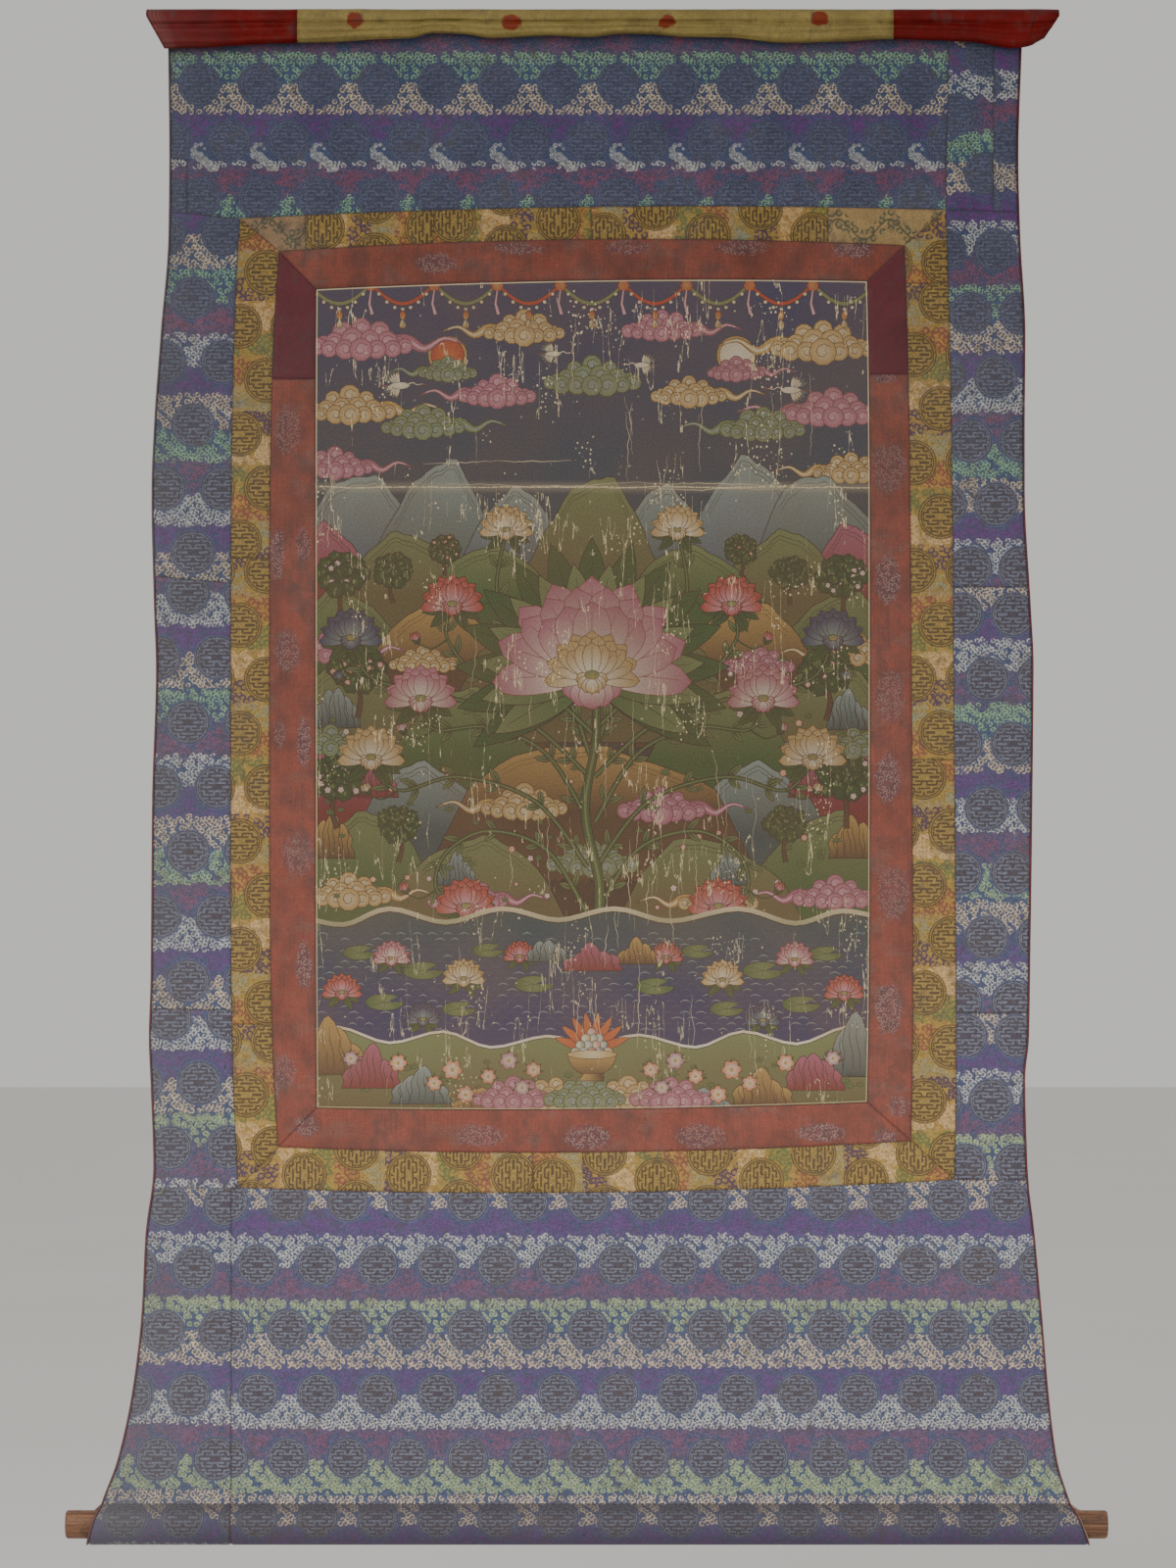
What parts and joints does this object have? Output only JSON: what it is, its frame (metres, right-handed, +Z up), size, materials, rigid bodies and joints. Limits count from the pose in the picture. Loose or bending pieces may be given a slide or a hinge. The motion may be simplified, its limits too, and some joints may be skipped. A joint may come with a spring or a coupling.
{
  "type": "thangka scroll painting with roller",
  "caption": "Hanging scroll painting on canvas in mitred red and yellow silk borders and a pieced blue brocade mount, with a rolled-up veil at the top and a wooden roller in the bottom hem.",
  "frame": {"origin": "middle of the mount's top edge, where the scroll hangs, in the cloth's middle plane", "axes": "+X to the viewer's right, -Y out of the painted face, +Z up; the roller lies along X"},
  "size_m": [0.9245, 0.0317, 1.3626],
  "materials": {
    "painted_canvas": "matte distemper paint on cotton",
    "red_silk": "dull worn silk",
    "crimson_silk": "dull worn silk",
    "yellow_brocade": "woven silk brocade",
    "beige_brocade": "woven silk brocade",
    "blue_brocade": "woven silk brocade",
    "binding_silk": "plain silk",
    "roller_wood": "bare wood",
    "veil_red": "thin plain silk",
    "veil_yellow": "thin plain silk"
  },
  "bodies": {
    "root": {"painting_canvas": "painted_canvas", "red_border_top": "red_silk", "red_border_bottom": "red_silk", "red_border_left_upper": "crimson_silk", "red_border_left_lower": "red_silk", "red_border_right_upper": "crimson_silk", "red_border_right_lower": "red_silk", "yellow_border_top_left_patch": "beige_brocade", "yellow_border_top_left": "yellow_brocade", "yellow_border_top_middle": "yellow_brocade", "yellow_border_top_right": "yellow_brocade", "yellow_border_top_right_patch": "beige_brocade", "yellow_border_bottom_left": "yellow_brocade", "yellow_border_bottom_right": "yellow_brocade", "yellow_border_left_upper": "yellow_brocade", "yellow_border_left_middle": "yellow_brocade", "yellow_border_left_lower": "yellow_brocade", "yellow_border_right_upper": "yellow_brocade", "yellow_border_right_middle": "yellow_brocade", "yellow_border_right_lower": "yellow_brocade", "brocade_top_panel": "blue_brocade", "brocade_top_left_patch": "blue_brocade", "brocade_top_right_inner": "blue_brocade", "brocade_top_right_outer": "blue_brocade", "brocade_left_upper": "blue_brocade", "brocade_left_middle": "blue_brocade", "brocade_left_lower": "blue_brocade", "brocade_right_upper": "blue_brocade", "brocade_right_middle": "blue_brocade", "brocade_right_lower": "blue_brocade", "brocade_bottom_panel": "blue_brocade", "edge_binding_left": "binding_silk", "edge_binding_right": "binding_silk", "roller": "roller_wood", "veil_left": "veil_red", "veil_middle": "veil_yellow", "veil_right": "veil_red"}
  },
  "joints": []
}
